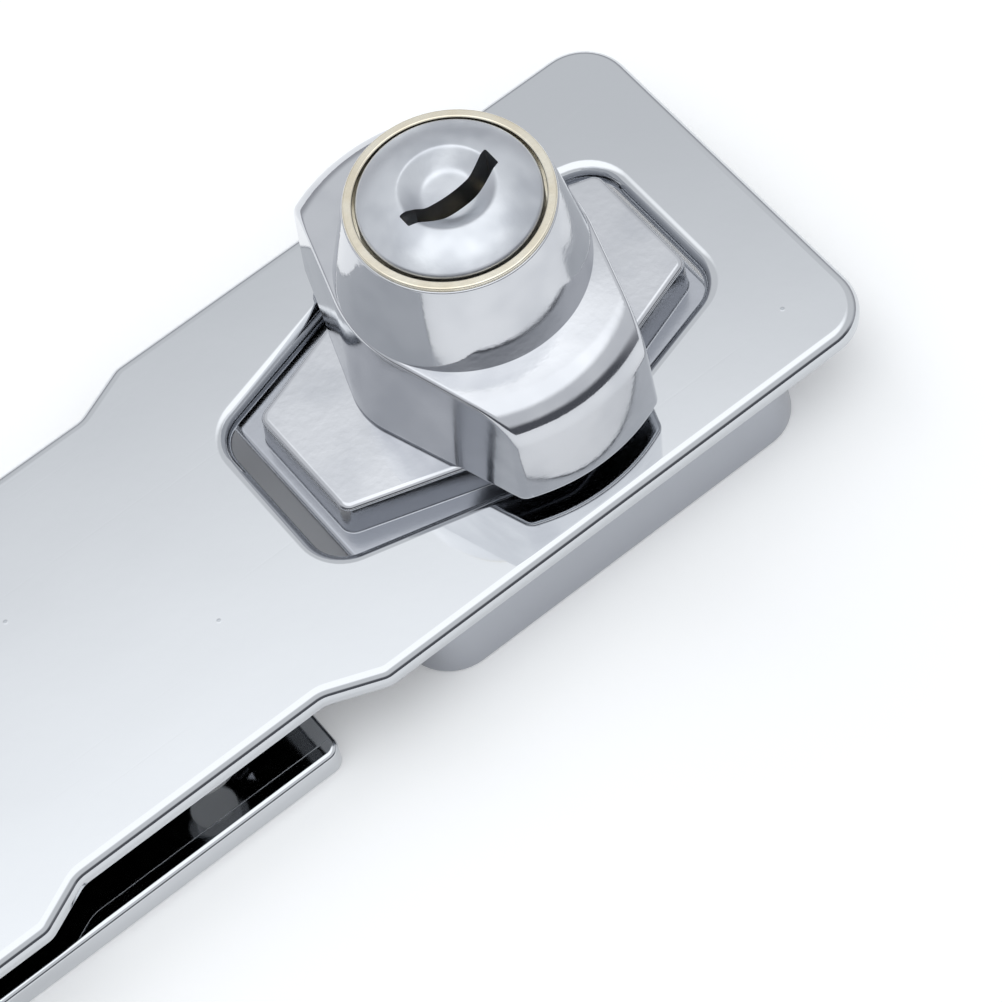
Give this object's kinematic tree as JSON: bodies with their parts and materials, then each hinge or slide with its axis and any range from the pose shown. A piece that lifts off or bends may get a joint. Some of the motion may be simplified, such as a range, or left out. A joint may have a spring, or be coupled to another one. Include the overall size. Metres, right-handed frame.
{
  "type": "keyed twist-knob hasp lock",
  "caption": "Hinged hasp strap with a hexagonal window over a die-cast base, locked by a two-lobed turning knob with a keyed wafer cylinder.",
  "frame": {"origin": "on the knob's axis, in the mounting plane under the lock base", "axes": "+X along the strap from the hinge to the lock end, +Y across the strap, +Z along the knob's axis away from the mounting surface"},
  "size_m": [0.1024, 0.035, 0.0287],
  "materials": {
    "chromed_sheet": "bright chrome plate on pressed steel",
    "chromed_casting": "chrome plate on a die casting, slightly grainy",
    "shell_brass": "pale turned brass",
    "plug_nickel": "satin chrome plate on brass",
    "wafer_brass": "stamped brass",
    "pin_steel": "bright steel",
    "spring_steel": "spring steel"
  },
  "bodies": {
    "base": {"lock_base": "chromed_casting", "hasp_strap": "chromed_sheet", "hinge_pin": "pin_steel"},
    "leaf": {"hinge_leaf": "chromed_sheet"},
    "knob": {"knob_body": "chromed_casting", "cylinder_shell": "shell_brass", "shell_pin": "pin_steel", "thrust_washer": "pin_steel", "spring_washer": "spring_steel", "hub_circlip": "spring_steel"},
    "plug": {"cylinder_plug": "plug_nickel", "plug_clip": "spring_steel", "drive_cam": "pin_steel", "wafer_spring_1": "spring_steel", "wafer_spring_2": "spring_steel", "wafer_spring_3": "spring_steel", "wafer_spring_4": "spring_steel", "wafer_spring_5": "spring_steel"},
    "bolt": {"locking_bolt": "pin_steel"},
    "wafer_1_body": {"wafer_1": "wafer_brass"},
    "wafer_2_body": {"wafer_2": "wafer_brass"},
    "wafer_3_body": {"wafer_3": "wafer_brass"},
    "wafer_4_body": {"wafer_4": "wafer_brass"},
    "wafer_5_body": {"wafer_5": "wafer_brass"}
  },
  "joints": [
    {"name": "leaf_hinge", "type": "hinge", "parent": "base", "child": "leaf", "pos_m": [-0.0742, 0, 0.0037], "axis": [0, 1, 0], "range_deg": [0, 180]},
    {"name": "knob_turn", "type": "hinge", "parent": "base", "child": "knob", "pos_m": [0, 0, 0.0092], "axis": [0, 0, 1], "range_deg": [0, 90]},
    {"name": "plug_turn", "type": "hinge", "parent": "knob", "child": "plug", "pos_m": [0, 0, 0.02], "axis": [0, 0, 1], "range_deg": [0, 90]},
    {"name": "bolt_slide", "type": "slide", "parent": "knob", "child": "bolt", "axis": [1, 0, 0], "range_m": [0, 0.00213]},
    {"name": "wafer_1_slide", "type": "slide", "parent": "plug", "child": "wafer_1_body", "axis": [1, 0, 0], "range_m": [0, 0.0009]},
    {"name": "wafer_2_slide", "type": "slide", "parent": "plug", "child": "wafer_2_body", "axis": [1, 0, 0], "range_m": [0, 0.0009]},
    {"name": "wafer_3_slide", "type": "slide", "parent": "plug", "child": "wafer_3_body", "axis": [1, 0, 0], "range_m": [0, 0.0009]},
    {"name": "wafer_4_slide", "type": "slide", "parent": "plug", "child": "wafer_4_body", "axis": [1, 0, 0], "range_m": [0, 0.0009]},
    {"name": "wafer_5_slide", "type": "slide", "parent": "plug", "child": "wafer_5_body", "axis": [1, 0, 0], "range_m": [0, 0.0009]}
  ],
  "couplings": [
    {"joint": "bolt_slide", "follows": "plug_turn", "m_per_rad": 0.00135}
  ]
}
